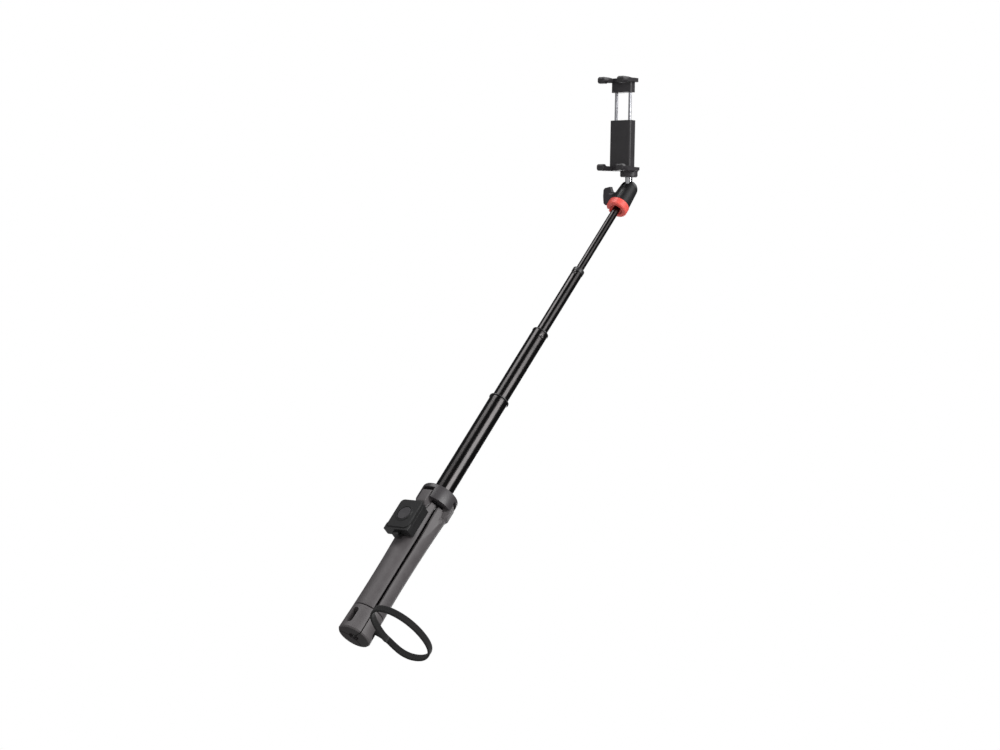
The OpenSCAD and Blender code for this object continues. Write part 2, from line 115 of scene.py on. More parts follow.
def grid_faces(rows, columns, wrap_rows=False):
    """Quads between neighbouring rows of a grid whose columns close on themselves."""
    r = np.arange(rows if wrap_rows else rows - 1)[:, None]
    c = np.arange(columns)[None, :]
    here, there = r * columns, (r + 1) % rows * columns
    right = (c + 1) % columns
    return np.stack([here + c, here + right, there + right, there + c], -1).reshape(-1, 4)


def grid_mesh(name, points, wrap_rows=False):
    """A mesh over a (rows, columns, 3) grid: each row is a closed ring. Its ends are capped
    unless the last row joins the first."""
    rows, columns = points.shape[:2]
    faces = [list(f) for f in grid_faces(rows, columns, wrap_rows)]
    if not wrap_rows:
        faces.append(list(range(columns))[::-1])
        faces.append(list(range((rows - 1) * columns, rows * columns)))
    mesh = bpy.data.meshes.new(name)
    mesh.from_pydata(points.reshape(-1, 3), [], faces)
    return mesh


def outwards(mesh):
    """Turns every face of a closed mesh outwards, after its doubles are merged."""
    bm = bmesh.new()
    bm.from_mesh(mesh)
    bmesh.ops.remove_doubles(bm, verts=bm.verts, dist=1e-6)
    bmesh.ops.recalc_face_normals(bm, faces=bm.faces)
    bm.to_mesh(mesh)
    bm.free()
    return mesh


def rounded(outline, radius, steps=5):
    """A closed outline with each corner cut to an arc. At a corner c the arc runs from c + a to
    c + b, where a and b point along the two sides, as the curve (1-t)^2 a + t^2 b about c."""
    p = np.array(outline, float)
    before, after = np.roll(p, 1, 0) - p, np.roll(p, -1, 0) - p
    long_a, long_b = np.linalg.norm(before, axis=1), np.linalg.norm(after, axis=1)
    cut = np.minimum(radius, 0.45 * np.minimum(long_a, long_b))[:, None]
    a, b = before / long_a[:, None] * cut, after / long_b[:, None] * cut
    t = np.linspace(0, 1, steps + 1)[None, :, None]
    arc = p[:, None] + (1 - t) ** 2 * a[:, None] + t ** 2 * b[:, None]
    return arc.reshape(-1, 2)


def turned(name, outline, around=96):
    """A closed outline of (radius, height) points turned about the Z axis: point i goes to
    (r cos a, r sin a, z) for each angle a."""
    outline = np.array(outline, float)
    angle = np.linspace(0, 2 * math.pi, around, endpoint=False)
    r, z = outline[:, 0][:, None], outline[:, 1][:, None]
    points = np.stack([r * np.cos(angle), r * np.sin(angle), z + 0 * angle], -1)
    return to_object(name, outwards(grid_mesh(name, points, wrap_rows=True)))


# %% [markdown]
# ## The wrist strap
#
# A loop of flat woven webbing, 6 mm wide and about 2 mm thick, runs from a pin in one foot out
# over the table and back. It could be a curve with a bevel, but a band that stands on its edge
# has to keep its width upright all the way, so a section is carried along a smooth path. The
# section is a rounded bar with five shallow ribs, which are the cords that the warp lies in.

# %%
STRAP_ROUTE = [
    (11.9, 5.6, 12.6), (15.5, 7.7, 12.4), (19.6, 9.4, 11.6), (24, 9.6, 9.6), (28.2, 7.6, 7),
    (31.4, 3.6, 4.8), (33.4, -2, 3.6), (34.6, -9, 3.2), (35.8, -17, 3.2), (38, -25, 3.2),
    (41.6, -32.6, 3.2), (47, -38.8, 3.2), (54, -42.6, 3.2), (62, -43, 3.2), (69.6, -40, 3.2),
    (76, -34, 3.2), (80.4, -26, 3.2), (82.6, -17, 3.2), (82.8, -7, 3.2), (80.8, 2.4, 3.2),
    (76.4, 10.6, 3.2), (70, 17, 3.2), (62, 21.4, 3.2), (53, 23.4, 3.4), (44.4, 23.2, 4),
    (36.6, 21.2, 5.4), (29.8, 18, 7.6), (24, 14.6, 10), (19, 11.6, 11.8), (14.4, 9, 12.6),
    (11.1, 7.1, 12.8)]
STRAP_W = 6 * MM
STRAP_T = 2.2 * MM
STRAP_RIBS = 5


def smooth_path(points, between):
    """A Catmull-Rom curve: between two points it is the cubic whose slope at each of them is
    half the step from its neighbour before to its neighbour after."""
    p = np.array(points, float)
    p = np.vstack([2 * p[0] - p[1], p, 2 * p[-1] - p[-2]])
    a, b, c, d = p[:-3], p[1:-2], p[2:-1], p[3:]
    t = np.linspace(0, 1, between, endpoint=False)[None, :, None]
    a, b, c, d = (q[:, None] for q in (a, b, c, d))
    curve = b + 0.5 * t * (c - a + t * (2 * a - 5 * b + 4 * c - d + t * (3 * (b - c) + d - a)))
    return np.vstack([curve.reshape(-1, 3), p[-2]])


def strap_section(count=40):
    """The webbing's section as (across, up) points. With the angle s round it, up is
    w cos s and across is t sin s, both drawn towards the corners of a bar, and the ribs add a
    ripple to the thickness that dies out at the two edges."""
    s = np.linspace(0, 2 * math.pi, count, endpoint=False)
    up = np.sign(np.cos(s)) * np.abs(np.cos(s)) ** 0.55
    across = np.sign(np.sin(s)) * np.abs(np.sin(s)) ** 0.4
    ripple = 1 - 0.1 * (1 - np.cos(math.pi * STRAP_RIBS * (up + 1))) / 2
    return np.stack([across * ripple * STRAP_T / 2, up * STRAP_W / 2], -1)


def strap_mesh(name, path):
    """The band: at each point of the path the section stands upright, its thickness along the
    level direction square to the path. UV runs in metres along and round the band."""
    ahead = np.gradient(path, axis=0)
    side = np.stack([-ahead[:, 1], ahead[:, 0], 0 * ahead[:, 0]], -1)
    side /= np.linalg.norm(side, axis=1)[:, None]
    section = strap_section()
    points = path[:, None] + side[:, None] * section[None, :, :1]
    points[..., 2] += section[None, :, 1]
    mesh = grid_mesh(name, points)
    along = np.append(0, np.cumsum(np.linalg.norm(np.diff(path, axis=0), axis=1)))
    count = len(section)
    around = np.linspace(0, 2 * (STRAP_W + STRAP_T), count, endpoint=False)
    corner = np.empty(len(mesh.loops), int)
    mesh.loops.foreach_get("vertex_index", corner)
    # the last strip of each ring runs on past the seam instead of back to zero
    v = around[corner % count]
    first = np.repeat([p.loop_start for p in mesh.polygons], [p.loop_total for p in mesh.polygons])
    wraps = (corner % count == 0) & (corner[first] % count == count - 1)
    v = np.where(wraps, 2 * (STRAP_W + STRAP_T), v)
    layer = mesh.uv_layers.new(name="webbing")
    layer.data.foreach_set("uv", np.stack([along[corner // count], v], -1).ravel())
    return mesh


strap_path = smooth_path(np.array(STRAP_ROUTE) * MM, between=8)
strap = to_object("strap_webbing", outwards(strap_mesh("strap_webbing", strap_path)))
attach(strap, "leg_2")
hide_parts("wrist_strap")

# %% [markdown]
# ## Nodes in few words
#
# A material is a small graph. One function feeds a node's inputs and one adds a node, so that
# each finish below reads as a list of what it is made of. Colours are written as the hex values
# a designer would pick, and one function turns them into the linear light that shaders add up.

# %%
def linear(hex_colour):
    """An sRGB hex colour as linear RGBA: c/12.92 when dark, ((c+0.055)/1.055)^2.4 above that."""
    c = np.array([int(hex_colour[i:i + 2], 16) for i in (1, 3, 5)]) / 255
    c = np.where(c <= 0.04045, c / 12.92, ((c + 0.055) / 1.055) ** 2.4)
    return (*c.tolist(), 1.0)


def feed(tree, socket, value):
    """Feeds one input: an output is linked to it, and any other value is set on it."""
    if isinstance(value, bpy.types.NodeSocket):
        tree.links.new(value, socket)
    else:
        socket.default_value = value


def wire(tree, node, **sockets):
    """Feeds a node's inputs by name. An underscore in a socket's name is a space."""
    for key, value in sockets.items():
        feed(tree, node.inputs[key.replace("_", " ")], value)


def add(tree, kind, settings=None, **sockets):
    """Adds a node. settings are its own properties; sockets are its inputs by name."""
    node = tree.nodes.new("ShaderNode" + kind)
    for key, value in (settings or {}).items():
        setattr(node, key, value)
    wire(tree, node, **sockets)
    return node


def calc(tree, operation, *values):
    """The result of a Math node, whose inputs all share one name and so go by their order."""
    node = add(tree, "Math", {"operation": operation})
    for socket, value in zip(node.inputs, values):
        feed(tree, socket, value)
    return node.outputs[0]


def new_material(name):
    """An empty material, its node tree and its Principled shader, wired to the output."""
    material = bpy.data.materials.new(name)
    material.use_nodes = True
    tree = material.node_tree
    shader = tree.nodes["Principled BSDF"]
    return material, tree, shader


def place(tree):
    """Where a point of the piece lies, in metres."""
    return add(tree, "TexCoord").outputs["Object"]


def ramp(tree, value, dark, light, dark_at=0.3, light_at=0.7):
    """A colour that goes from dark to light as value goes between two places."""
    node = add(tree, "ValToRGB", Fac=value)
    for stop, at, colour in zip(node.color_ramp.elements, (dark_at, light_at), (dark, light)):
        stop.position, stop.color = at, linear(colour)
    return node.outputs["Color"]


def spread(tree, value, least, most):
    """value from 0 to 1, stretched to run from least to most."""
    return add(tree, "MapRange", Value=value, To_Min=least, To_Max=most).outputs["Result"]


# %% [markdown]
# ## Moulded plastics
#
# Most of the stick is injection-moulded nylon or ABS. A mould is etched with a grain, so the
# plastic copies thousands of tiny pits: they break up the highlight more than they colour the
# surface. A larger, fainter cloud in the tone and the gloss keeps broad faces from looking
# drawn. Real mould grain is about 0.15 mm; it is drawn at 0.35 mm, so that it still shows.

# %%
GRAIN = 0.35 * MM
CLOUD = 9 * MM
GRAIN_IN_TONE = 0.35  # the tone is this much grain, and cloud for the rest


def moulded(name, dark, light, rough, grain_depth=0.02 * MM, gloss_spread=0.07):
    """Moulded plastic: two close tones in soft clouds, and an etched grain as bump."""
    material, tree, shader = new_material(name)
    at = place(tree)
    cloud = add(tree, "TexNoise", Vector=at, Scale=1 / CLOUD, Detail=3.0, Roughness=0.6)
    grain = add(tree, "TexNoise", Vector=at, Scale=1 / GRAIN, Detail=2.0, Roughness=0.5)
    soft = calc(tree, "MULTIPLY", cloud.outputs["Fac"], 1 - GRAIN_IN_TONE)
    tone = calc(tree, "MULTIPLY_ADD", grain.outputs["Fac"], GRAIN_IN_TONE, soft)
    bump = add(tree, "Bump", Height=grain.outputs["Fac"], Strength=0.5, Distance=grain_depth)
    wire(tree, shader, Base_Color=ramp(tree, tone, dark, light),
         Roughness=spread(tree, cloud.outputs["Fac"], rough - gloss_spread, rough + gloss_spread),
         Normal=bump.outputs["Normal"], IOR=1.5)
    return material


LEG_NYLON = moulded("grained warm grey nylon", "#565253", "#625e5f", 0.52)
FOOT_NYLON = moulded("grained foot nylon", "#5b5758", "#676364", 0.52)
COLLAR_ABS = moulded("satin collar ABS", "#3c393b", "#454244", 0.42, 0.01 * MM)
HOUSING_NYLON = moulded("charcoal glass-filled nylon", "#111112", "#18181a", 0.4)
KNOB_ABS = moulded("moulded knob ABS", "#2a272b", "#343036", 0.45)
JAW_NYLON = moulded("jaw nylon", "#272527", "#322f32", 0.42)
DISC_ABS = moulded("turned disc ABS", "#343134", "#3f3c3f", 0.4)
REMOTE_ABS = moulded("fine matt remote ABS", "#0b0a0b", "#121112", 0.5, 0.012 * MM)
DOCK_ABS = moulded("dock ABS", "#0e0d0e", "#151415", 0.5, 0.012 * MM)
ACETAL = moulded("slide ring acetal", "#1d1c1d", "#282728", 0.38, 0.006 * MM)
CORAL_ABS = moulded("coral red ABS", "#ee5a50", "#f4685e", 0.38, 0.006 * MM, 0.05)

# %% [markdown]
# ## Anodised tube
#
# The four sections are drawn aluminium, dyed black as they were anodised. Drawing leaves fine
# straight scratches along the tube, and the oxide on top is hard and glossy: the tube is almost
# black, and what it shows is the lights, as long streaks. The scratches only vary the gloss, and
# they are stretched forty times along Z. Real ones are finer than the 0.12 mm drawn here.

# %%
SCRATCH = 0.12 * MM
SCRATCH_STRETCH = 40
TUBE_CLOUD = 14 * MM


def anodised(name, dark, light, rough):
    """Dyed anodised aluminium: a dark metal with scratches drawn along Z."""
    material, tree, shader = new_material(name)
    stretch = add(tree, "Mapping", {"vector_type": "POINT"}, Vector=place(tree),
                  Scale=(1, 1, 1 / SCRATCH_STRETCH))
    scratch = add(tree, "TexNoise", Vector=stretch.outputs["Vector"], Scale=1 / SCRATCH,
                  Detail=2.0)
    cloud = add(tree, "TexNoise", Vector=place(tree), Scale=1 / TUBE_CLOUD, Detail=2.0)
    wire(tree, shader, Metallic=1.0, Base_Color=ramp(tree, cloud.outputs["Fac"], dark, light),
         Roughness=spread(tree, scratch.outputs["Fac"], rough - 0.03, rough + 0.05))
    return material


TUBE_BLACK = anodised("black anodised tube", "#323131", "#393737", 0.22)

# %% [markdown]
# ## Bright metals
#
# The ball and its stem are plated with chromium, which mirrors the room. Pins, screws and rails
# are plain steel, turned on a lathe. The tool leaves fine rings, but these parts are small and
# lie along different axes, so the marks are drawn as an even grain that breaks up the streak.
# The flat strip spring is blued by its heat treatment.

# %%
PEEL = 1.4 * MM
TOOL_MARK = 0.25 * MM
METAL_CLOUD = 3 * MM


def plated(name, colour, rough):
    """Polished plating, with a faint orange peel from the buffing."""
    material, tree, shader = new_material(name)
    peel = add(tree, "TexNoise", Vector=place(tree), Scale=1 / PEEL, Detail=2.0)
    bump = add(tree, "Bump", Height=peel.outputs["Fac"], Strength=0.12, Distance=0.01 * MM)
    wire(tree, shader, Metallic=1.0, Base_Color=linear(colour), Normal=bump.outputs["Normal"],
         Roughness=spread(tree, peel.outputs["Fac"], rough, rough + 0.05))
    return material


def machined(name, dark, light, rough):
    """Machined metal: fine tool marks, as bump and as a change of gloss."""
    material, tree, shader = new_material(name)
    at = place(tree)
    marks = add(tree, "TexNoise", Vector=at, Scale=1 / TOOL_MARK, Detail=2.0, Roughness=0.6)
    cloud = add(tree, "TexNoise", Vector=at, Scale=1 / METAL_CLOUD, Detail=3.0)
    bump = add(tree, "Bump", Height=marks.outputs["Fac"], Strength=0.3, Distance=0.008 * MM)
    wire(tree, shader, Metallic=1.0, Base_Color=ramp(tree, cloud.outputs["Fac"], dark, light),
         Roughness=spread(tree, marks.outputs["Fac"], rough - 0.06, rough + 0.08),
         Normal=bump.outputs["Normal"])
    return material


CHROME = plated("polished chromium plate", "#b9babc", 0.04)
STEEL = machined("turned steel", "#9d9da2", "#bcbcc1", 0.28)
BLUED = machined("blued spring strip", "#5d6878", "#8f98a3", 0.3)
CELL_CAN = machined("nickel cell can", "#bcbec0", "#cfd1d3", 0.22)

# %% [markdown]
# ## Rubber, lacquer and webbing
#
# The jaw pads and the button are silicone rubber, dull and a little dusty. The remote's circuit
# board is green solder lacquer over copper. The webbing is plain-woven polyester: warp yarns
# run along the strap and weft yarns cross it. Yarn is about 0.45 mm thick, and is drawn at
# 0.8 mm so that the weave still reads; the pattern follows the strap's own UV, in metres.

# %%
YARN = 0.8 * MM
FUZZ = 0.3 * MM
DUST = 0.5 * MM
TRACK = 6 * MM


def rubber(name, dark, light):
    """Soft dull rubber with a fine dusty bloom, and a sheen at grazing angles."""
    material, tree, shader = new_material(name)
    at = place(tree)
    dust = add(tree, "TexNoise", Vector=at, Scale=1 / DUST, Detail=4.0, Roughness=0.7)
    bump = add(tree, "Bump", Height=dust.outputs["Fac"], Strength=0.4, Distance=0.02 * MM)
    wire(tree, shader, Base_Color=ramp(tree, dust.outputs["Fac"], dark, light),
         Roughness=spread(tree, dust.outputs["Fac"], 0.62, 0.8), Sheen_Weight=0.15,
         Normal=bump.outputs["Normal"])
    return material


def lacquered_board(name):
    """Green solder lacquer with paler copper tracks that run across it."""
    material, tree, shader = new_material(name)
    tracks = add(tree, "TexBrick", {"offset": 0.5}, Vector=place(tree), Scale=1 / TRACK,
                 Color1=linear("#1d5433"), Color2=linear("#24623d"), Mortar=linear("#3f8a55"),
                 Mortar_Size=0.04)
    wire(tree, shader, Base_Color=tracks.outputs["Color"], Roughness=0.22, Coat_Weight=0.4)
    return material


def woven(name, dark, light):
    """Plain weave: the height is sin u times sin v, so that yarns go over and under in turn."""
    material, tree, shader = new_material(name)
    uv = add(tree, "UVMap", {"uv_map": "webbing"}).outputs["UV"]
    axes = add(tree, "SeparateXYZ", Vector=uv).outputs
    waves = [calc(tree, "SINE", calc(tree, "MULTIPLY", axes[axis], math.pi / YARN))
             for axis in "XY"]
    weave = calc(tree, "MULTIPLY", *waves)
    height = add(tree, "MapRange", Value=weave, From_Min=-1.0, From_Max=1.0).outputs["Result"]
    fuzz = add(tree, "TexNoise", Vector=place(tree), Scale=1 / FUZZ, Detail=3.0)
    mixed = calc(tree, "MULTIPLY_ADD", fuzz.outputs["Fac"], 0.3, height)
    bump = add(tree, "Bump", Height=mixed, Strength=0.7, Distance=0.12 * MM)
    # The colour follows the fuzz, which is a random tone, and the height of the weave: the low
    # parts are drawn darker, which is painted shade.
    wire(tree, shader, Base_Color=ramp(tree, mixed, dark, light, 0.2, 1.0),
         Roughness=0.85, Sheen_Weight=0.08, Normal=bump.outputs["Normal"])
    return material


PAD_RUBBER = rubber("black silicone pad", "#121212", "#1d1c1c")
BUTTON_RUBBER = rubber("dark silicone button", "#312f32", "#3f3c40")
BOARD = lacquered_board("green solder lacquer")
WEBBING = woven("black woven polyester", "#050404", "#131111")
strap.data.materials.append(WEBBING)

# %% [markdown]
# ## The legs
#
# A closed leg is a third of a waisted tube. At each height its section is drawn in the leg's own
# frame, which looks along +X: an outer edge, two faces along the splits and an inner edge
# around the pole. Beside a split the outer edge is cut by a flat, square to the split, that
# moves in as it rises, so that two legs share a long V. A cut by a plane at distance P from the
# axis limits the radius at an angle d from the plane's own direction to P / cos d.

# %%
LEG_LOW = low("leg_1").z
LEG_HIGH = 137.5 * MM
LEG_R = 15 * MM              # at the sole; the waist is 1 mm less
WAIST_DROP = 1 * MM
WAIST_Z = 55 * MM
FLAT_P, FLAT_Z = 15.6 * MM, 91 * MM
FLAT_SLOPE = 0.09            # how much the flat moves in for each metre up
CORE_R = 9.6 * MM
SPLIT_HALF = 1.1 * MM
SIDE = math.radians(60)      # from the middle of a leg to a split
LEG_EASE = 0.9 * MM
END_EASE = 0.4 * MM
GROOVE_Z = 126 * MM
GROOVE_DEPTH = 2 * MM
GROOVE_FROM, GROOVE_TO = 4.7 * MM, 7 * MM
KNUCKLE_HALF = 5 * MM
KNUCKLE_LOW = 131.5 * MM
KNUCKLE_EASE = 0.5 * MM
HINGE = (12.9 * MM, 143.6 * MM)
BARREL_R = 3.4 * MM
LEG_ANGLES = {"leg_1": -90, "leg_2": 30, "leg_3": 150}


def eased_off(distance, radius):
    """How far a rounded edge lies under the sharp one: a quarter circle that starts one radius
    before the edge and has dropped by one radius at it."""
    d = np.clip(distance, 0, radius)
    return radius - np.sqrt(radius ** 2 - (radius - d) ** 2)


def leg_outer(angle, z):
    """The leg's outer radius: waist, flats beside the splits, rounded edges."""
    grip = LEG_R - WAIST_DROP + WAIST_DROP * ((z - WAIST_Z) / WAIST_Z) ** 2
    flat = (FLAT_P - FLAT_SLOPE * (z - FLAT_Z)) / np.cos(SIDE - np.abs(angle))
    # a soft minimum, so that the flat's edge catches the light
    soft = 0.12 * MM
    r = -soft * np.logaddexp(-grip / soft, -flat / soft)
    # a relief groove on both sides of the knuckle, near the leg's top
    side = np.abs(r * np.sin(angle))
    across = (np.clip((side - GROOVE_FROM) / (0.4 * MM), 0, 1)
              * np.clip((GROOVE_TO - side) / (0.6 * MM), 0, 1))
    r = r - GROOVE_DEPTH * across * np.clip((z - GROOVE_Z) / (5 * MM), 0, 1)
    to_split = r * np.sin(SIDE - np.abs(angle)) - SPLIT_HALF
    to_end = np.minimum(z - LEG_LOW, LEG_HIGH - z)
    return r - eased_off(to_split, LEG_EASE) - eased_off(to_end, END_EASE)


def leg_section(z, count=121, inner_count=15):
    """One closed outline: outer edge from split to split, then the inner edge back. The outer
    points crowd towards the splits, where the edge is rounded."""
    edge = SIDE - math.asin(SPLIT_HALF / LEG_R)
    u = np.linspace(-1, 1, count)
    angle = edge * np.sign(u) * (1 - (1 - np.abs(u)) ** 1.6)
    outer = leg_outer(angle, z)
    inner_edge = SIDE - math.asin(SPLIT_HALF / CORE_R)
    inner = np.linspace(inner_edge, -inner_edge, inner_count)
    r = np.concatenate([outer, np.full(inner_count, CORE_R)])
    a = np.concatenate([angle, inner])
    return np.stack([r * np.cos(a), r * np.sin(a), np.full(len(r), z)], -1)


def prism(outline, half, ease, steps=5):
    """A closed (x, z) outline carried along Y from -half to half. Near both ends it shrinks
    along its own normals, so that the rims are round."""
    p = np.array(outline, float)
    ahead = np.roll(p, -1, 0) - np.roll(p, 1, 0)
    inwards = np.stack([-ahead[:, 1], ahead[:, 0]], -1)
    inwards /= np.linalg.norm(inwards, axis=1)[:, None]
    turn = np.linspace(0, math.pi / 2, steps + 1)
    y = half - ease * (1 - np.sin(turn))
    shrink = ease * (1 - np.cos(turn))
    rows = [(-at, by) for at, by in zip(y[::-1], shrink[::-1])] + list(zip(y, shrink))
    points = []
    for at, by in rows:
        q = p + inwards * by
        points.append(np.stack([q[:, 0], np.full(len(q), at), q[:, 1]], -1))
    return np.array(points)


def knuckle_outline():
    """The hinge barrel seen from the side: round inside, flush with the collar outside."""
    x, z = HINGE
    face, bottom = high("collar").x - 0.15 * MM, KNUCKLE_LOW
    corners = [(x - BARREL_R, bottom), (face - 1.6 * MM, bottom), (face, bottom + 2.6 * MM),
               (face, z + BARREL_R - 1 * MM), (face - 1 * MM, z + BARREL_R)]
    turn = np.radians(np.linspace(90, 180, 9))
    barrel = [(x + BARREL_R * math.cos(t), z + BARREL_R * math.sin(t)) for t in turn]
    return rounded(corners + barrel, KNUCKLE_EASE, 3)


def leg_mesh(name, angle):
    """The leg and its knuckle, turned into place about the pole."""
    ends = END_EASE * np.array([0, 0.06, 0.2, 0.45, 0.75, 1])
    z = np.concatenate([LEG_LOW + ends, np.linspace(LEG_LOW + 3 * MM, LEG_HIGH - 3 * MM, 60),
                        (LEG_HIGH - ends)[::-1]])
    bm = bmesh.new()
    for points in (np.array([leg_section(at) for at in z]),
                   prism(knuckle_outline(), KNUCKLE_HALF, KNUCKLE_EASE)):
        part = grid_mesh(name + "_part", points)
        bm.from_mesh(part)
        bpy.data.meshes.remove(part)
    bm.transform(Matrix.Rotation(math.radians(angle), 4, "Z"))
    mesh = bpy.data.meshes.new(name)
    bm.to_mesh(mesh)
    bm.free()
    return outwards(mesh)


def sharp_by_angle(piece, degrees=38):
    """Splits the shading at edges sharper than an angle, so that flat faces stay flat."""
    piece.data.set_sharp_from_angle(angle=math.radians(degrees))
    return piece


for leg, angle in LEG_ANGLES.items():
    piece = sharp_by_angle(to_object(leg + "_shell", leg_mesh(leg + "_shell", angle)))
    piece.data.materials.append(LEG_NYLON)
    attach(piece, leg)
    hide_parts(leg)

# %% [markdown]
# ## The pole
#
# Each section is a thin tube whose end is eased, with an oval press mark that holds the guide.
# The mark is a dent: the radius drops by a bell curve of the distance from its middle, measured
# along the tube and round it. The guides are turned rings with rounded rims.

# %%
WALL = 0.6 * MM
PRESS = {"tube_1": 11, "tube_2": -22, "tube_3": -75}  # which way each mark looks, in degrees
PRESS_DROP = 7 * MM
PRESS_DEPTH = 0.4 * MM
PRESS_SPREAD_UP, PRESS_SPREAD_ROUND = 1.0 * MM, 1.5 * MM
LIPS = {1: 1.2, 2: 1.2, 3: 4.2}  # the height of each guide ring's rim, in mm
RING_LENGTH = 12 * MM


def tube_mesh(name, node, around=160):
    """A tube with eased ends, and a press mark when its section has one."""
    r, bottom, top = high(node).x, low(node).z, high(node).z
    ease = np.array([0.2, 0.08, 0.02, 0]) * MM
    mark = high(node + "_lip").z - PRESS_DROP if node in PRESS else top - 10 * MM
    z = np.concatenate([[bottom, bottom + 0.06 * MM, bottom + 0.14 * MM, bottom + 0.3 * MM],
                        np.linspace(bottom + 1 * MM, mark - 4 * MM, 40),
                        np.linspace(mark - 3.8 * MM, mark + 3.8 * MM, 39),
                        [top - 0.3 * MM, top - 0.14 * MM, top - 0.06 * MM, top]])
    under = np.concatenate([ease, np.zeros(len(z) - 2 * len(ease)), ease[::-1]])
    angle = np.linspace(0, 2 * math.pi, around, endpoint=False)
    radius = r - under[:, None] + 0 * angle
    if node in PRESS:
        off = (angle - math.radians(PRESS[node]) + math.pi) % (2 * math.pi) - math.pi
        bell = np.exp(-(((z[:, None] - mark) / PRESS_SPREAD_UP) ** 2
                        + (r * off / PRESS_SPREAD_ROUND) ** 2))
        radius = radius - PRESS_DEPTH * bell
    rows = np.concatenate([z, [top, bottom]])
    radius = np.concatenate([radius, np.full((2, around), r - WALL)])
    points = np.stack([radius * np.cos(angle), radius * np.sin(angle),
                       rows[:, None] + 0 * angle], -1)
    return outwards(grid_mesh(name, points, wrap_rows=True))


for number in (1, 2, 3, 4):
    node = f"tube_{number}"
    piece = sharp_by_angle(to_object(node + "_drawn", tube_mesh(node + "_drawn", node)))
    piece.data.materials.append(TUBE_BLACK)
    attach(piece, node)
    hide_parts(node)
for number, lip in LIPS.items():
    node = f"tube_{number}_lip"
    rim, top = high(node).x, high(node).z
    bore = high(f"tube_{number}").x - WALL
    inner = high(f"tube_{number + 1}").x + 0.05 * MM
    under = top - lip * MM
    outline = [(inner, top - RING_LENGTH), (bore, top - RING_LENGTH), (bore, under),
               (rim, under), (rim, top), (inner, top)]
    piece = sharp_by_angle(turned(node + "_ring", rounded(outline, 0.4 * MM)))
    piece.data.materials.append(ACETAL)
    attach(piece, f"tube_{number}")
    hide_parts(node)

# %% [markdown]
# ## Rounded edges on moulded parts
#
# No moulded edge is sharp: plastic shrinks from the corner, and toolmakers break every edge so
# that the part leaves the mould. That small radius is what draws a bright line round a part.
# The CAD nodes have sharp edges and stay untouched, so each is copied, its doubled corners are
# merged, its flat facets are joined, and a Bevel modifier rounds what is left of the edges. The
# modifier holds back where two edges are close, so that thin fingers do not grow into each other.

# %%
BEVEL_FROM_DEGREES = 32
BEVEL_STEPS = 3


def copied(node, name):
    """A new mesh with a CAD node's triangles, its corners merged and its flat faces joined."""
    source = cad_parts[node].data
    co = np.empty(len(source.vertices) * 3, np.float32)
    source.vertices.foreach_get("co", co)
    corner = np.empty(len(source.loops), np.int32)
    source.loops.foreach_get("vertex_index", corner)
    mesh = bpy.data.meshes.new(name)
    mesh.from_pydata(co.reshape(-1, 3), [], corner.reshape(-1, 3))
    bm = bmesh.new()
    bm.from_mesh(mesh)
    bmesh.ops.remove_doubles(bm, verts=bm.verts, dist=0.002 * MM)
    bmesh.ops.dissolve_limit(bm, angle_limit=math.radians(0.4), verts=bm.verts, edges=bm.edges)
    bm.to_mesh(mesh)
    bm.free()
    return mesh


def eased(node, body, material, radius):
    """The piece that stands for a CAD node, every edge sharper than an angle rounded."""
    piece = to_object(node + "_eased", copied(node, node + "_eased"))
    bevel = piece.modifiers.new("edge", "BEVEL")
    bevel.width, bevel.segments = radius, BEVEL_STEPS
    bevel.limit_method, bevel.angle_limit = "ANGLE", math.radians(BEVEL_FROM_DEGREES)
    bevel.use_clamp_overlap = True
    bevel.harden_normals = True
    piece.data.materials.append(material)
    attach(piece, body)
    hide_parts(node)
    return piece


# body, slot, finish, radius of the edges in mm, nodes
EASED = [
    ("handle", "collar", COLLAR_ABS, 0.45, ["collar"]),
    ("leg_1", "leg", FOOT_NYLON, 0.35, ["foot_1"]),
    ("leg_2", "leg", FOOT_NYLON, 0.35, ["foot_2"]),
    ("leg_3", "leg", FOOT_NYLON, 0.35, ["foot_3"]),
    ("leg_1", "dock", DOCK_ABS, 0.3, ["remote_dock"]),
    ("remote", "remote_case", REMOTE_ABS, 0.3, ["remote_cover", "remote_base"]),
    ("head", "ring", CORAL_ABS, 0.3, ["base_ring"]),
    ("head", "housing", HOUSING_NYLON, 0.4, ["ball_housing"]),
    ("knob", "knob", KNOB_ABS, 0.55, ["lock_knob"]),
    ("clamp", "disc", DISC_ABS, 0.35, ["stem_disc"]),
    ("clamp", "jaw", JAW_NYLON, 0.3, ["lower_jaw", "clamp_body", "clamp_cover"]),
    ("upper_jaw", "jaw", JAW_NYLON, 0.3, ["upper_jaw"]),
    ("clamp", "pad", PAD_RUBBER, 0.12, ["lower_pad_1", "lower_pad_2"]),
    ("upper_jaw", "pad", PAD_RUBBER, 0.12, ["upper_pad_1", "upper_pad_2"]),
]
for body, slot, material, radius, nodes in EASED:
    for node in nodes:
        eased(node, body, material, radius * MM)
print(sum(len(row[-1]) for row in EASED), "pieces with eased edges")

# %% [markdown]
# ## Finishes for the parts that keep their CAD shape
#
# Pins, rails, rings and what is sealed inside are turned or stamped, and their CAD shape is
# right as it is. They only need a finish, which goes into the slot of the node's own object.

# %%
FINISHES = {
    STEEL: ["hinge_pin_1", "hinge_pin_2", "hinge_pin_3", "strap_pin", "head_stud", "lock_screw",
            "jaw_rail_1", "jaw_rail_2"],
    ACETAL: ["hub_sleeve", "tube_1_stop", "tube_2_stop", "tube_3_stop", "tube_4_stop",
             "brake_cup"],
    CHROME: ["ball_stem"],
    BLUED: ["clamp_spring"],
    CELL_CAN: ["remote_battery"],
    BOARD: ["remote_board"],
    BUTTON_RUBBER: ["remote_button"],
}
for material, nodes in FINISHES.items():
    for node in nodes:
        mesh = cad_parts[node].data
        mesh.materials.clear()
        mesh.materials.append(material)

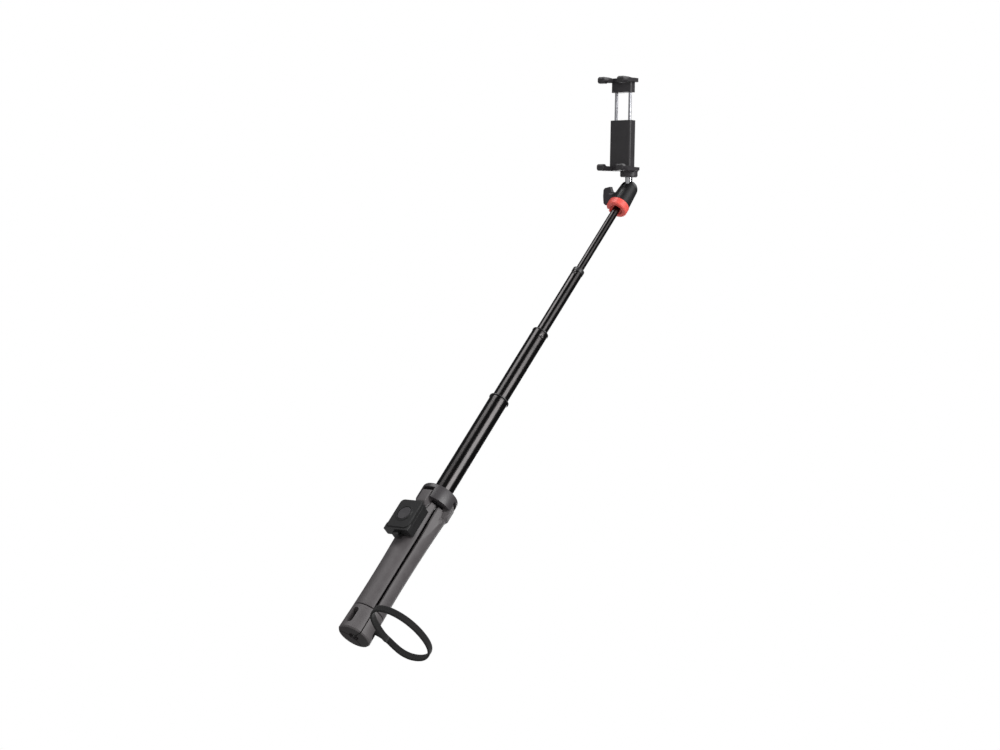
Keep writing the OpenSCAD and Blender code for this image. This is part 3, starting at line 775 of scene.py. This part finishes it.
# %% [markdown]
# ## Floor and light
#
# The stick is held up or stands on its feet, and the strap lies at the height of the soles, so
# the floor is just under them. It is a light table: it glows a little, so that the soles are
# seen by its light. The camera looks from below, so the floor is clear from its underside.
#
# Black gloss shows nothing but its lights. Two pairs of wide soft panels draw the long streaks on
# the tubes: a strong one at the right for the lower tubes with a weak one over it, and a strong
# one at the left for the upper tubes with a weak one under it. A panel behind and one overhead
# show the far side. The room itself stays dim.

# %%
FLOOR_HALF = 2.2
FLOOR_DROP = 0.3 * MM
floor_mesh = bpy.data.meshes.new("floor")
corners = [(x * FLOOR_HALF, y * FLOOR_HALF, -FLOOR_DROP)
           for x, y in ((-1, -1), (1, -1), (1, 1), (-1, 1))]
floor_mesh.from_pydata(corners, [], [(0, 1, 2, 3)])
floor = to_object("floor", floor_mesh)


def light_table():
    """A pale floor that glows faintly upwards and is clear from below."""
    material, tree, shader = new_material("pale light table")
    wire(tree, shader, Base_Color=linear("#a8a8a8"), Roughness=0.9,
         Emission_Color=linear("#ffffff"), Emission_Strength=0.16)
    clear = add(tree, "BsdfTransparent")
    under = add(tree, "NewGeometry").outputs["Backfacing"]
    mix = add(tree, "MixShader", Fac=under)
    tree.links.new(shader.outputs[0], mix.inputs[1])
    tree.links.new(clear.outputs[0], mix.inputs[2])
    tree.links.new(mix.outputs[0], tree.nodes["Material Output"].inputs["Surface"])
    return material


floor.data.materials.append(light_table())


def white_room():
    """A world that is white to look at, and lights the stick with less than that."""
    world = bpy.data.worlds.new("white room")
    world.use_nodes = True
    tree = world.node_tree
    seen = tree.nodes["Background"]
    seen.inputs["Color"].default_value = linear("#ffffff")
    glow = add(tree, "Background", Color=linear("#f4f6fa"), Strength=0.11)
    mix = add(tree, "MixShader", Fac=add(tree, "LightPath").outputs["Is Camera Ray"])
    tree.links.new(glow.outputs[0], mix.inputs[1])
    tree.links.new(seen.outputs[0], mix.inputs[2])
    tree.links.new(mix.outputs[0], tree.nodes["World Output"].inputs["Surface"])
    return world


bpy.context.scene.world = white_room()
bpy.context.scene.view_settings.view_transform = "Standard"


AIM = Vector((0, 0, 0.3))  # the middle of the stick, which every panel looks at


def panel(name, azimuth, distance, height, size, watts):
    """A soft panel that looks at the stick. azimuth is from +X towards +Y, in degrees."""
    data = bpy.data.lights.new(name, "AREA")
    data.shape, data.size, data.size_y, data.energy = "RECTANGLE", *size, watts
    light = bpy.data.objects.new(name, data)
    a = math.radians(azimuth)
    at = Vector((distance * math.cos(a), distance * math.sin(a), height))
    look = (AIM - at).to_track_quat("-Z", "Y").to_matrix().to_4x4()
    light.matrix_world = Matrix.Translation(at) @ look
    bpy.context.scene.collection.objects.link(light)


panel("right panel", azimuth=-14, distance=1.5, height=0.9, size=(1.15, 0.5), watts=20)
panel("right high panel", azimuth=-12, distance=1.5, height=1.36, size=(1.3, 0.4), watts=3)
panel("left panel", azimuth=-110, distance=1.5, height=1.38, size=(1.0, 0.5), watts=13)
panel("left low panel", azimuth=-110, distance=1.5, height=0.85, size=(1.0, 0.5), watts=1.6)
panel("back panel", azimuth=120, distance=2.0, height=0.9, size=(1.2, 1.2), watts=12)
panel("top panel", azimuth=40, distance=0.5, height=2.3, size=(1.2, 1.2), watts=10)

# %% [markdown]
# ## The last update
#
# The view layer is brought up to date once more.

# %%
bpy.context.view_layer.update()
